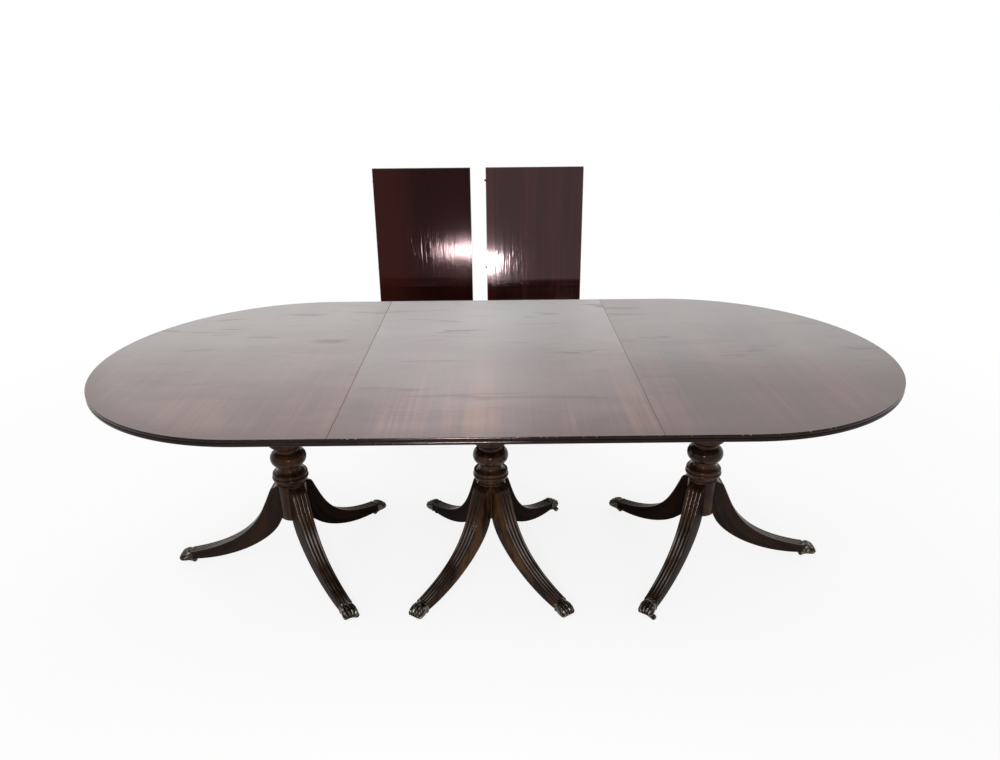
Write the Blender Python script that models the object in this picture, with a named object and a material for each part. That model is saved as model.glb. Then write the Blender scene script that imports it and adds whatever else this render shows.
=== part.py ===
# Triple pedestal dining table: three tops with a reeded edge on turned columns, reeded sabre legs
# with paw caps and castors, and two loose leaves that stand on end behind it.
# Metres, +Z up. +X runs along the row of pedestals, +Y points to the side where the leaves stand.

import math

import bmesh
import bpy
from mathutils import Matrix, Vector

SEAT = 0.0003  # gap between pieces that touch

# Tops and leaves
TABLE_HEIGHT = 0.740
TABLE_DEPTH = 1.190
CENTRE_LENGTH = 0.784
END_STRAIGHT = 0.214  # straight front of an end top, before its curve
END_BOW = 0.570  # reach of the curve beyond that
TOP_THICKNESS = 0.019
EDGE_REEDS = 2
EDGE_REED_DEPTH = 0.0028
LEAF_WIDTH = 0.392
LEAF_SPACING = 0.062
LEAF_PAIR_X = -0.066  # middle of the pair of leaves
LEAF_STAND_BACK = 0.350  # from the table's back edge to the leaves

# Locating pegs in the joint faces
PEG_RADIUS = 0.004
PEG_LENGTH = 0.012
PEG_ROOT = 0.006
PEG_EDGE_INSET = 0.050
PEG_INNER = 0.190  # inner pegs from the middle of the joint
SOCKET_END_ROOM = 0.001

# Block and bearers under each top
BLOCK_SIDE = 0.190
BLOCK_HEIGHT = 0.045
BEARER_WIDTH = 0.040
BEARER_DEPTH = 0.030
BEARER_LENGTH = 0.680
BEARER_END_CUT = 0.018
END_BEARER_INSET = 0.040  # from the joint face of an end top
END_COLUMN_INSET = 0.277  # column axis from the joint face of an end top
CENTRE_COLUMN_SHIFT = -0.020  # centre column from the middle of its top

# Turned column, from the block down to the hub
TENON_RADIUS = 0.025
COLLAR_RADIUS = 0.062
COLLAR_HEIGHT = 0.012
COLLAR_COVE = 0.022
BARREL_TOP_RADIUS = 0.044
BARREL_FOOT_RADIUS = 0.056
ASTRAGAL_HEIGHT = 0.010
ASTRAGAL_SWELL = 0.005
FOOT_COVE = 0.018
NECK_RADIUS = 0.038
NECK_HEIGHT = 0.006
BALL_RADIUS = 0.057
BALL_HEIGHT = 0.048
WAIST_RADIUS = 0.037
WAIST_HEIGHT = 0.008
WAIST_COVE = 0.016
RING_RADIUS = 0.057
RING_HEIGHT = 0.030
BEAD_SWELL = 0.003
BEAD_HEIGHT = 0.008
GROOVE_DEPTH = 0.003
GROOVE_HEIGHT = 0.003
HUB_BOTTOM = 0.180
HUB_HEIGHT = 0.124
HUB_LAND = 0.0018  # strip of hub left between neighbouring legs
HUB_ROUNDING = 0.006

# Legs
END_LEG_ANGLE = math.radians(125.5)  # front and back legs of an end pedestal, from its outer leg
CENTRE_LEG_ANGLE = math.radians(54.5)  # legs of the centre pedestal, from the row
LEG_REACH = 0.402  # tip of the paw from the column axis
LEG_ROOT_WIDTH = 0.052
LEG_ANKLE_WIDTH = 0.040
LEG_ANKLE_DEPTH = 0.0265
LEG_REEDS = 4
LEG_REED_DEPTH = 0.003
SHOULDER_RADIUS = 0.045
SHOULDER_INSET = 0.019  # middle of the round shoulder inside the hub
SHOULDER_RISE = 0.002  # crown of its arc above the top of the hub
SHOULDER_TURN = math.radians(22.0)  # slope at which the round shoulder runs into the sweep
TOP_LEAVES = Vector((0.043, 0, -0.092))  # handles of the sweep's upper and lower curves
TOP_ARRIVES = Vector((-0.215, 0, 0.042))
UNDER_LEAVES = Vector((0.015, 0, -0.072))
UNDER_ARRIVES = Vector((-0.158, 0, 0.003))
UNDER_START_LIFT = 0.002
DOVETAIL_NECK = 0.018
DOVETAIL_TAIL = 0.026
DOVETAIL_DEPTH = 0.016
DOVETAIL_STOP = 0.012  # below the top of the hub

# Paw caps
CAP_LENGTH = 0.047
CAP_WALL = 0.003
CAP_SOLE = 0.007
CAP_STEP = 0.005  # underside of the ankle above the sole
CAP_TENON_LENGTH = 0.026
CAP_TENON_DROP = 0.006  # top of the tenon below the top of the ankle
COLLAR_BAND = 0.005
COLLAR_BAND_RISE = 0.0012
TOES = 4
TOE_DEPTH = 0.0032
TOE_SPREAD = 0.0235  # half the width across the toes
TOE_FALL = 0.019  # from the ankle down to the tips of the toes

# Castors
WHEEL_RADIUS = 0.0082
WHEEL_WIDTH = 0.010
WHEEL_ROUNDING = 0.0015
WHEEL_SIDES = 12
CASTOR_TRAIL = 0.022
CASTOR_ROOM = 0.0008  # round the wheel
PIVOT_INSET = 0.021  # from the tip of the paw
AXLE_RADIUS = 0.0016
PIVOT_RADIUS = 0.003
PIVOT_LENGTH = 0.006
CHEEK = 0.0022
CROWN_RADIUS = 0.0065

# Values that follow from the sizes above
HALF_DEPTH = TABLE_DEPTH / 2
UNDERSIDE = TABLE_HEIGHT - TOP_THICKNESS
COLUMN_TOP = UNDERSIDE - SEAT - BLOCK_HEIGHT - SEAT
JOINT_X = CENTRE_LENGTH / 2 + SEAT
END_COLUMN_X = JOINT_X + END_COLUMN_INSET
NARROWEST = min(math.pi / 2 - CENTRE_LEG_ANGLE, CENTRE_LEG_ANGLE, END_LEG_ANGLE / 2, math.pi - END_LEG_ANGLE)
HUB_RADIUS = LEG_ROOT_WIDTH / 2 / math.sin(NARROWEST) + HUB_LAND
HUB_TOP = HUB_BOTTOM + HUB_HEIGHT
ANKLE = LEG_REACH - CAP_LENGTH
CAP_FLOOR = 2 * WHEEL_RADIUS + CASTOR_ROOM
ANKLE_UNDER = CAP_FLOOR + CAP_STEP
ANKLE_TOP = ANKLE_UNDER + LEG_ANKLE_DEPTH
TENON_UNDER = CAP_FLOOR + CAP_SOLE + SEAT
TENON_TOP = ANKLE_TOP - CAP_TENON_DROP
CAP_TENON_WIDTH = LEG_ANKLE_WIDTH - 2 * CAP_WALL
PIVOT_X = LEG_REACH - PIVOT_INSET

TURNED_SIDES = 14
BOW_STEPS = 24

MAHOGANY = ("mahogany", (0.115, 0.042, 0.027), 0.22, 0.0)
DARK_MAHOGANY = ("dark_mahogany", (0.045, 0.018, 0.012), 0.28, 0.0)
SECONDARY_WOOD = ("secondary_wood", (0.16, 0.085, 0.045), 0.6, 0.0)
BRASS = ("old_brass", (0.22, 0.18, 0.10), 0.38, 1.0)
WHEEL_BRASS = ("wheel_brass", (0.30, 0.24, 0.13), 0.34, 1.0)


def material(name, colour, roughness, metallic):
    if name in bpy.data.materials:
        return bpy.data.materials[name]
    made = bpy.data.materials.new(name)
    made.use_nodes = True
    shader = made.node_tree.nodes["Principled BSDF"]
    shader.inputs["Base Color"].default_value = (*colour, 1)
    shader.inputs["Roughness"].default_value = roughness
    shader.inputs["Metallic"].default_value = metallic
    made.diffuse_color = (*colour, 1)
    return made


def empty(name, parent=None, location=(0, 0, 0), turn=0.0):
    made = bpy.data.objects.new(name, None)
    bpy.context.collection.objects.link(made)
    made.parent = parent
    made.location = location
    made.rotation_euler.z = turn
    return made


def place(name, mesh, finish, parent, location=(0, 0, 0), rotation=(0, 0, 0)):
    if not mesh.materials:
        mesh.materials.append(material(*finish))
    mesh.shade_smooth()
    mesh.set_sharp_from_angle(angle=math.radians(32))
    made = bpy.data.objects.new(name, mesh)
    bpy.context.collection.objects.link(made)
    made.parent = parent
    made.location = location
    made.rotation_euler = rotation
    return made


def mesh_of(bm, name):
    bmesh.ops.recalc_face_normals(bm, faces=bm.faces)
    mesh = bpy.data.meshes.new(name)
    bm.to_mesh(mesh)
    bm.free()
    return mesh


def loft(name, rings):
    # A closed skin over rings of equal count, with a face across each end.
    bm = bmesh.new()
    loops = [[bm.verts.new(point) for point in ring] for ring in rings]
    for low, high in zip(loops, loops[1:]):
        for k in range(len(low)):
            n = (k + 1) % len(low)
            bm.faces.new((low[k], low[n], high[n], high[k]))
    bm.faces.new(loops[0])
    bm.faces.new(loops[-1])
    return mesh_of(bm, name)


def prism(name, outline, along):
    return loft(name, [outline, [Vector(point) + Vector(along) for point in outline]])


def turned(name, profile, sides, closed=False):
    # Spins (radius, height) points about Z. A closed profile makes a ring with a bore.
    bm = bmesh.new()
    points = [bm.verts.new((radius, 0, height)) for radius, height in profile]
    edges = [bm.edges.new(pair) for pair in zip(points, points[1:])]
    if closed:
        edges.append(bm.edges.new((points[-1], points[0])))
    bmesh.ops.spin(bm, geom=points + edges, axis=(0, 0, 1), angle=math.tau, steps=sides, use_merge=True)
    bmesh.ops.remove_doubles(bm, verts=bm.verts, dist=0.000001)
    return mesh_of(bm, name)


def cylinders(name, sides, rods):
    # Rods are (root, tip, root radius, tip radius).
    bm = bmesh.new()
    for root, tip, wide, narrow in rods:
        axis = Vector(tip) - Vector(root)
        turn = axis.to_track_quat("Z", "Y").to_matrix().to_4x4()
        middle = Matrix.Translation((Vector(root) + Vector(tip)) / 2)
        half_side = Matrix.Rotation(math.pi / sides, 4, "Z")
        bmesh.ops.create_cone(
            bm, cap_ends=True, segments=sides, radius1=wide, radius2=narrow, depth=axis.length,
            matrix=middle @ turn @ half_side,
        )
    return mesh_of(bm, name)


def shaped(mesh, added=(), cut=()):
    # The mesh with others joined to it, then others cut out of it.
    collection = bpy.context.collection
    body = bpy.data.objects.new(mesh.name, mesh)
    collection.objects.link(body)
    helpers = []
    for operation, tools in (("UNION", added), ("DIFFERENCE", cut)):
        for tool in tools:
            helper = bpy.data.objects.new(tool.name, tool)
            collection.objects.link(helper)
            helpers.append(helper)
            change = body.modifiers.new(operation.lower(), "BOOLEAN")
            change.solver = "EXACT"
            change.operation = operation
            change.object = helper
    graph = bpy.context.evaluated_depsgraph_get()
    result = bpy.data.meshes.new_from_object(body.evaluated_get(graph))
    result.name = mesh.name
    for helper in [body, *helpers]:
        bpy.data.objects.remove(helper)
    return result


def arc(start, end, swell, steps):
    # A rounded member between two (radius, height) points, standing out by swell.
    points = []
    for k in range(1, steps):
        share = k / steps
        radius = start[0] + (end[0] - start[0]) * share + swell * math.sin(math.pi * share)
        height = (start[1] + end[1]) / 2 + (start[1] - end[1]) / 2 * math.cos(math.pi * share)
        points.append((radius, height))
    return [*points, end]


def cove(start, end, steps):
    # A hollow member, upright at its narrow end.
    points = []
    for k in range(1, steps + 1):
        angle = math.pi / 2 * k / steps
        if start[0] > end[0]:
            radius = end[0] + (start[0] - end[0]) * (1 - math.sin(angle))
            height = end[1] + (start[1] - end[1]) * math.cos(angle)
        else:
            radius = end[0] + (start[0] - end[0]) * math.cos(angle)
            height = start[1] + (end[1] - start[1]) * math.sin(angle)
        points.append((radius, height))
    return points


def sweep(start, leaves, arrives, end, share):
    a, b, c, d = start, start + leaves, end + arrives, end
    rest = 1 - share
    return rest**3 * a + 3 * rest**2 * share * b + 3 * rest * share**2 * c + share**3 * d


def edge_profile():
    # (inset, drop) down the reeded edge, from the top face to the underside.
    steps = 4
    points = []
    for k in range(EDGE_REEDS * steps + 1):
        across = 2 * (k % steps) / steps - 1
        swell = math.sqrt(1 - across**2)
        points.append((EDGE_REED_DEPTH * (1 - swell), TOP_THICKNESS * k / (EDGE_REEDS * steps)))
    return points


def straight_top(name, length):
    rings = []
    for inset, drop in edge_profile():
        reach = HALF_DEPTH - inset
        corners = ((-1, -1), (1, -1), (1, 1), (-1, 1))
        rings.append([Vector((length / 2 * x, reach * y, -drop)) for x, y in corners])
    return loft(name, rings)


def end_top(name):
    # Joint face at x = 0, with the curve running out to +X.
    stations = [(Vector((0, -HALF_DEPTH, 0)), Vector((0, -1, 0)))]
    for k in range(BOW_STEPS + 1):
        angle = math.pi * (k / BOW_STEPS - 0.5)
        out, side = math.cos(angle), math.sin(angle)
        point = Vector((END_STRAIGHT + END_BOW * out, HALF_DEPTH * side, 0))
        stations.append((point, Vector((out / END_BOW, side / HALF_DEPTH, 0)).normalized()))
    stations.append((Vector((0, HALF_DEPTH, 0)), Vector((0, 1, 0))))
    rings = []
    for inset, drop in edge_profile():
        rings.append([point - inset * normal - Vector((0, 0, drop)) for point, normal in stations])
    return loft(name, rings)


def peg_rods(face_x, outward, start, end, radius, tip_radius):
    outer = HALF_DEPTH - PEG_EDGE_INSET
    rods = []
    for y in (-outer, -PEG_INNER, PEG_INNER, outer):
        root = (face_x + outward * start, y, -TOP_THICKNESS / 2)
        tip = (face_x + outward * end, y, -TOP_THICKNESS / 2)
        rods.append((root, tip, radius, tip_radius))
    return rods


def pegs(face_x, outward):
    taper = PEG_RADIUS / 8
    return cylinders("pegs", 8, peg_rods(face_x, outward, -PEG_ROOT, PEG_LENGTH, PEG_RADIUS, PEG_RADIUS - taper))


def sockets(face_x, outward):
    depth = PEG_LENGTH + SEAT + SOCKET_END_ROOM
    radius = PEG_RADIUS + SEAT / math.cos(math.pi / 8)
    return cylinders("sockets", 8, peg_rods(face_x, outward, -depth, PEG_RADIUS, radius, radius))


def block():
    half = BLOCK_SIDE / 2
    corners = [(-half, -half, 0), (half, -half, 0), (half, half, 0), (-half, half, 0)]
    body = prism("top_block", corners, (0, 0, BLOCK_HEIGHT))
    radius = (TENON_RADIUS + SEAT) / math.cos(math.pi / TURNED_SIDES)
    bore = cylinders("bore", TURNED_SIDES, [((0, 0, -0.01), (0, 0, BLOCK_HEIGHT + 0.01), radius, radius)])
    return shaped(body, cut=[bore])


def bearer():
    # A rail along the row, its lower ends cut back.
    half, width = BEARER_LENGTH / 2, BEARER_WIDTH / 2
    side = [(-half, 0), (half, 0), (half - BEARER_END_CUT, -BEARER_DEPTH), (-half + BEARER_END_CUT, -BEARER_DEPTH)]
    return prism("bearer", [(x, -width, z) for x, z in side], (0, BEARER_WIDTH, 0))


def column_profile():
    # (radius, height) from the tenon down the turned side to the bottom of the hub.
    top = COLUMN_TOP
    cove_end = top - COLLAR_HEIGHT - COLLAR_COVE
    astragal_end = cove_end - ASTRAGAL_HEIGHT
    groove_top = HUB_TOP + GROOVE_HEIGHT
    bead_top = groove_top + BEAD_HEIGHT
    ring_top = bead_top + RING_HEIGHT
    waist_low = ring_top + WAIST_COVE
    waist_top = waist_low + WAIST_HEIGHT
    ball_top = waist_top + BALL_HEIGHT
    neck_top = ball_top + NECK_HEIGHT
    barrel_foot = neck_top + FOOT_COVE
    groove = HUB_RADIUS - GROOVE_DEPTH
    ring_lip = (RING_RADIUS + HUB_RADIUS) / 2
    line = [(0, UNDERSIDE - SEAT - 0.001), (TENON_RADIUS, UNDERSIDE - SEAT - 0.001), (TENON_RADIUS, top)]
    line += [(COLLAR_RADIUS, top), (COLLAR_RADIUS, top - COLLAR_HEIGHT)]
    line += cove(line[-1], (BARREL_TOP_RADIUS, cove_end), 3)
    line += arc(line[-1], (BARREL_TOP_RADIUS, astragal_end), ASTRAGAL_SWELL, 3)
    line += [(BARREL_FOOT_RADIUS, barrel_foot)]
    line += cove(line[-1], (NECK_RADIUS, neck_top), 3)
    line += [(NECK_RADIUS, ball_top)]
    line += arc(line[-1], (WAIST_RADIUS, waist_top), BALL_RADIUS - (NECK_RADIUS + WAIST_RADIUS) / 2, 6)
    line += [(WAIST_RADIUS, waist_low)]
    line += cove(line[-1], (ring_lip, ring_top), 2)
    line += arc(line[-1], (HUB_RADIUS, bead_top), RING_RADIUS - (ring_lip + HUB_RADIUS) / 2, 4)
    line += arc(line[-1], (groove, groove_top), BEAD_SWELL, 3)
    line += [(groove, HUB_TOP), (HUB_RADIUS, HUB_TOP), (HUB_RADIUS, HUB_BOTTOM + HUB_ROUNDING)]
    line += [(HUB_RADIUS - HUB_ROUNDING, HUB_BOTTOM), (0, HUB_BOTTOM)]
    return line


def dovetail(name, room, low, out):
    # Tongue of a leg, pointing at the column axis. Room widens it into the hub's slot.
    inner = HUB_RADIUS - DOVETAIL_DEPTH - room
    neck, tail = DOVETAIL_NECK / 2 + room, DOVETAIL_TAIL / 2 + room
    edge = HUB_RADIUS
    outline = [(inner, -tail), (edge, -neck), (edge + out, -neck), (edge + out, neck), (edge, neck), (inner, tail)]
    top = HUB_TOP - DOVETAIL_STOP + room
    return prism(name, [(x, y, low) for x, y in outline], (0, 0, top - low))


def column(name, leg_angles):
    slots = []
    for angle in leg_angles:
        slot = dovetail("slot", SEAT, HUB_BOTTOM - 0.01, 0.02)
        slot.transform(Matrix.Rotation(angle, 4, "Z"))
        slots.append(slot)
    return shaped(turned(name, column_profile(), TURNED_SIDES), cut=slots)


def reeded_ring(top, under, width, depth):
    # Section of a leg: reeds across its upper face, plain sides and underside.
    down = (under - top).normalized()
    across = []
    for k in range(LEG_REEDS * 3 + 1):
        sink = depth if k % 3 == 0 else depth * 0.06
        y = width * (k / (LEG_REEDS * 3) - 0.5)
        across.append(top + down * sink + Vector((0, y, 0)))
    return across + [under + Vector((0, width / 2, 0)), under - Vector((0, width / 2, 0))]


def leg():
    # Points out along +X from the column axis. Its root is cut to the hub's drum.
    middle = Vector((HUB_RADIUS - SHOULDER_INSET, 0, HUB_TOP + SHOULDER_RISE - SHOULDER_RADIUS))
    root = HUB_RADIUS - DOVETAIL_DEPTH
    root_turn = math.acos((root - middle.x) / SHOULDER_RADIUS)
    under_start = Vector((HUB_RADIUS - 0.008, 0, HUB_BOTTOM + UNDER_START_LIFT))
    under_root = under_start + Vector((root - under_start.x, 0, 0.012))
    lines = []
    for k in range(4):
        angle = root_turn + (SHOULDER_TURN - root_turn) * k / 4
        top = middle + SHOULDER_RADIUS * Vector((math.cos(angle), 0, math.sin(angle)))
        lines.append((top, under_root.lerp(under_start, k / 4), 0.0))
    top_start = middle + SHOULDER_RADIUS * Vector((math.cos(SHOULDER_TURN), 0, math.sin(SHOULDER_TURN)))
    under_end = Vector((ANKLE, 0, ANKLE_UNDER))
    top_end = Vector((ANKLE, 0, ANKLE_TOP))
    for share in (0.0, 0.05, *[k / 7 for k in range(1, 8)]):
        top = sweep(top_start, TOP_LEAVES, TOP_ARRIVES, top_end, share)
        under = sweep(under_start, UNDER_LEAVES, UNDER_ARRIVES, under_end, share)
        lines.append((top, under, LEG_REED_DEPTH if share else 0.0))
    rings = []
    for top, under, depth in lines:
        out = max(0.0, (top.x - HUB_RADIUS) / (ANKLE - HUB_RADIUS))
        width = LEG_ANKLE_WIDTH + (LEG_ROOT_WIDTH - LEG_ANKLE_WIDTH) * (1 - out) ** 2
        rings.append(reeded_ring(top, under, width, depth * width / LEG_ROOT_WIDTH))
    for x in (ANKLE, ANKLE + CAP_TENON_LENGTH):
        rings.append(reeded_ring(Vector((x, 0, TENON_TOP)), Vector((x, 0, TENON_UNDER)), CAP_TENON_WIDTH, 0.0))
    radius = (HUB_RADIUS + SEAT) / math.cos(math.pi / 32)
    drum = cylinders("drum", 32, [((0, 0, 0), (0, 0, HUB_TOP + 0.1), radius, radius)])
    tongue = dovetail("tongue", 0.0, HUB_BOTTOM + SEAT, 0.010)
    return shaped(shaped(loft("leg", rings), cut=[drum]), added=[tongue])


def paw_ring(x, half, top, low, toe):
    # Section of a paw: the toes make lobes across its top and stand out at its front.
    ring = []
    for k in range(TOES * 3 + 1):
        lobe = 0.0 if k % 3 == 0 else 1.0
        across = 2 * k / (TOES * 3) - 1
        fall = (top - low) * 0.3 * across**4
        ring.append(Vector((x - toe * (1 - lobe), half * across, top - fall - toe * (1 - lobe))))
    for side in (1, -1):
        ring.append(Vector((x - toe / 2, side * half * 0.94, low)))
    return ring


def paw_cap():
    # A hollow brass shoe over the end of a leg, with the castor's pivot hole in its sole.
    start = ANKLE + SEAT
    length = LEG_REACH - start
    half = LEG_ANKLE_WIDTH / 2
    rise = COLLAR_BAND_RISE
    rings = [
        paw_ring(start, half + rise, ANKLE_TOP + rise, CAP_FLOOR, 0.0),
        paw_ring(start + COLLAR_BAND, half + rise, ANKLE_TOP + rise, CAP_FLOOR, 0.0),
        paw_ring(start + COLLAR_BAND + rise, half, ANKLE_TOP, CAP_FLOOR, 0.0),
    ]
    # Along the toes: share of the length, of the spread, of the fall, of the groove depth, and lift of the sole.
    stations = (
        (0.36, 0.93, -0.04, 0.35, 0.0), (0.60, 1.0, 0.14, 0.7, 0.0), (0.80, 1.0, 0.42, 1.0, 0.0),
        (0.94, 0.9, 0.72, 1.0, 0.4), (1.0, 0.74, 1.0, 0.9, 1.3),
    )
    for along, wide, fall, groove, lift in stations:
        top, low = ANKLE_TOP - TOE_FALL * fall, CAP_FLOOR + TOE_DEPTH * lift
        rings.append(paw_ring(start + length * along, TOE_SPREAD * wide, top, low, TOE_DEPTH * groove))
    reach = CAP_TENON_LENGTH + SEAT
    side = CAP_TENON_WIDTH / 2 + SEAT
    floor = TENON_UNDER - SEAT
    mouth = [(ANKLE - 0.002, -side, floor), (ANKLE + reach, -side, floor)]
    mouth += [(ANKLE + reach, side, floor), (ANKLE - 0.002, side, floor)]
    socket = prism("socket", mouth, (0, 0, TENON_TOP + SEAT - floor))
    radius = PIVOT_RADIUS + SEAT / math.cos(math.pi / 8)
    low, high = (PIVOT_X, 0, CAP_FLOOR - 0.012), (PIVOT_X, 0, CAP_FLOOR + PIVOT_LENGTH + SEAT)
    return shaped(loft("paw_cap", rings), cut=[socket, cylinders("pivot_hole", 8, [(low, high, radius, radius)])])


def castor_horn():
    # Pivot on the Z axis, wheel trailing along +X. The fork is one block with the wheel's space cut out.
    top = CAP_FLOOR - SEAT
    boss = 2.5 * AXLE_RADIUS
    half = WHEEL_WIDTH / 2 + SEAT + CHEEK
    side = [(-CROWN_RADIUS, top), (-CROWN_RADIUS, top - 0.6 * WHEEL_RADIUS)]
    for k in range(5):
        angle = math.pi * (-0.62 + 0.25 * k)
        side.append((CASTOR_TRAIL + boss * math.cos(angle), WHEEL_RADIUS + boss * math.sin(angle)))
    side.append((CROWN_RADIUS * 0.7, top))
    body = prism("castor_horn", [(x, -half, z) for x, z in side], (0, 2 * half, 0))
    space = WHEEL_RADIUS / math.cos(math.pi / WHEEL_SIDES) + CASTOR_ROOM / 2
    gap = WHEEL_WIDTH / 2 + SEAT
    ends = [(CASTOR_TRAIL, -gap, WHEEL_RADIUS), (CASTOR_TRAIL, gap, WHEEL_RADIUS)]
    wheel_space = cylinders("wheel_space", 16, [(*ends, space, space)])
    fork = shaped(body, cut=[wheel_space])
    reach = half - CHEEK / 2
    ends = [(CASTOR_TRAIL, -reach, WHEEL_RADIUS), (CASTOR_TRAIL, reach, WHEEL_RADIUS)]
    axle = cylinders("axle", 8, [(*ends, AXLE_RADIUS, AXLE_RADIUS)])
    ends = [(0, 0, top - 0.004), (0, 0, CAP_FLOOR + PIVOT_LENGTH)]
    pivot = cylinders("pivot", 8, [(*ends, PIVOT_RADIUS, PIVOT_RADIUS)])
    return shaped(fork, added=[axle, pivot])


def castor_wheel():
    # Spun about its own axle, which lies along Y, with a flat of the tread downwards.
    stretch = 1 / math.cos(math.pi / WHEEL_SIDES)
    bore = (AXLE_RADIUS + SEAT) * stretch
    rim, half = WHEEL_RADIUS * stretch, WHEEL_WIDTH / 2
    soft = rim - WHEEL_ROUNDING
    profile = [(bore, half), (soft, half), (rim, half - WHEEL_ROUNDING), (rim, WHEEL_ROUNDING - half)]
    profile += [(soft, -half), (bore, -half)]
    mesh = turned("castor_wheel", profile, WHEEL_SIDES, closed=True)
    mesh.transform(Matrix.Rotation(math.pi / 2, 4, "X") @ Matrix.Rotation(math.pi / WHEEL_SIDES, 4, "Z"))
    return mesh


def clear_scene():
    for obj in list(bpy.data.objects):
        bpy.data.objects.remove(obj)


def build():
    clear_scene()
    leaf = shaped(straight_top("leaf", LEAF_WIDTH), [pegs(-LEAF_WIDTH / 2, -1)], [sockets(LEAF_WIDTH / 2, 1)])
    row = empty("row", location=(0, -(LEAF_STAND_BACK + TOP_THICKNESS) / 2, 0))
    half = CENTRE_LENGTH / 2
    centre = shaped(straight_top("centre_top", CENTRE_LENGTH), [pegs(-half, -1)], [sockets(half, 1)])
    left_end = shaped(end_top("left_end_top"), cut=[sockets(0, -1)])
    right_end = shaped(end_top("right_end_top"), added=[pegs(0, -1)])

    outer, front, rear = 0.0, -END_LEG_ANGLE, END_LEG_ANGLE
    square = CENTRE_LEG_ANGLE
    end_legs = {"outer": outer, "front": front, "back": rear}
    centre_legs = {
        "front_left": math.pi + square, "front_right": -square,
        "back_left": math.pi - square, "back_right": square,
    }
    mirrored = {"outer": math.pi, "front": math.pi - front, "back": math.pi - rear}
    end_column = column("end_column", end_legs.values())
    mid_column = column("centre_column", centre_legs.values())
    end_rail = END_BEARER_INSET + BEARER_LENGTH / 2 - END_COLUMN_INSET
    aside = CENTRE_COLUMN_SHIFT
    # Section: x of its column, top, x of the top's own origin, turn of top and column, rail middle, legs.
    sections = {
        "left": (-END_COLUMN_X, "left_end_top", left_end, END_COLUMN_INSET, math.pi, end_column, -end_rail, mirrored),
        "centre": (aside, "centre_top", centre, -aside, 0.0, mid_column, -aside, centre_legs),
        "right": (END_COLUMN_X, "right_end_top", right_end, -END_COLUMN_INSET, 0.0, end_column, end_rail, end_legs),
    }
    # Castors trail towards their column, apart from three that stand turned aside.
    turned_aside = {"left_front": math.radians(30), "right_front": math.radians(-40)}
    turned_aside["centre_back_right"] = math.radians(-32)
    block_mesh, bearer_mesh, leg_mesh, cap_mesh = block(), bearer(), leg(), paw_cap()
    horn_mesh, wheel_mesh = castor_horn(), castor_wheel()
    rail_y = BLOCK_SIDE / 2 + SEAT + BEARER_WIDTH / 2

    for side, (x, top_name, top, top_x, turn, post, rail_x, legs) in sections.items():
        section = empty(side + "_section", row, (x, 0, 0))
        place(top_name, top, MAHOGANY, section, (top_x, 0, TABLE_HEIGHT), (0, 0, turn))
        place(side + "_column", post, DARK_MAHOGANY, section, rotation=(0, 0, turn))
        place(side + "_top_block", block_mesh, SECONDARY_WOOD, section, (0, 0, COLUMN_TOP + SEAT))
        for edge, y in (("front", -rail_y), ("back", rail_y)):
            at = (rail_x, y, UNDERSIDE - SEAT)
            place(f"{side}_{edge}_bearer", bearer_mesh, SECONDARY_WOOD, section, at)
        for where, angle in legs.items():
            foot = f"{side}_{where}"
            place(foot + "_leg", leg_mesh, DARK_MAHOGANY, section, rotation=(0, 0, angle))
            place(foot + "_paw_cap", cap_mesh, BRASS, section, rotation=(0, 0, angle))
            pivot = (PIVOT_X * math.cos(angle), PIVOT_X * math.sin(angle), 0)
            swivel = empty(foot + "_swivel", section, pivot, turned_aside.get(foot, angle + math.pi))
            place(foot + "_castor_horn", horn_mesh, BRASS, swivel)
            place(foot + "_castor_wheel", wheel_mesh, WHEEL_BRASS, swivel, (CASTOR_TRAIL, 0, WHEEL_RADIUS))

    for side, sign in (("left", -1), ("right", 1)):
        x = LEAF_PAIR_X + sign * (LEAF_SPACING + LEAF_WIDTH) / 2
        at = (x, HALF_DEPTH + LEAF_STAND_BACK, HALF_DEPTH)
        place(side + "_leaf", leaf, MAHOGANY, row, at, (math.pi / 2, 0, 0))


build()
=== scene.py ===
import math

import bmesh
import bpy
from mathutils import Matrix, Vector


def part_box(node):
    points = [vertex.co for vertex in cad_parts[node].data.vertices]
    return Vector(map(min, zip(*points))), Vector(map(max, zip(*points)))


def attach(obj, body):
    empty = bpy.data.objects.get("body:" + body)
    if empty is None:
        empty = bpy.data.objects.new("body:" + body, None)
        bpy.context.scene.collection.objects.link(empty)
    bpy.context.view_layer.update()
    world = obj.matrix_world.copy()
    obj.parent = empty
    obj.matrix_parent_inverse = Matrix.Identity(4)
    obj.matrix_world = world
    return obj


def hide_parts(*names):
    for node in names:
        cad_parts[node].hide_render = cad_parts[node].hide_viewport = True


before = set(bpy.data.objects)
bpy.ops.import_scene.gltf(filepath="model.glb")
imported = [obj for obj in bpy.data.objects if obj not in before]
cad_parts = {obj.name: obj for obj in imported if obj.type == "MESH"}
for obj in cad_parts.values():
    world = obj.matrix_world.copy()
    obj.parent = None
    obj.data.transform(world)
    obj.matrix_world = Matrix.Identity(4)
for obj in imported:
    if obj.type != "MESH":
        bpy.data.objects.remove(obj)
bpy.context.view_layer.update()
print("frame loaded:", len(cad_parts), "nodes")


# shader helpers

class Wire:  # an output socket that can be used in sums
    def __init__(self, paint, socket):
        self.paint = paint
        self.socket = socket

    def __add__(self, other):
        return self.paint.calc("ADD", self, other)

    def __radd__(self, other):
        return self.paint.calc("ADD", other, self)

    def __sub__(self, other):
        return self.paint.calc("SUBTRACT", self, other)

    def __rsub__(self, other):
        return self.paint.calc("SUBTRACT", other, self)

    def __mul__(self, other):
        return self.paint.calc("MULTIPLY", self, other)

    def __rmul__(self, other):
        return self.paint.calc("MULTIPLY", other, self)


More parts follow.
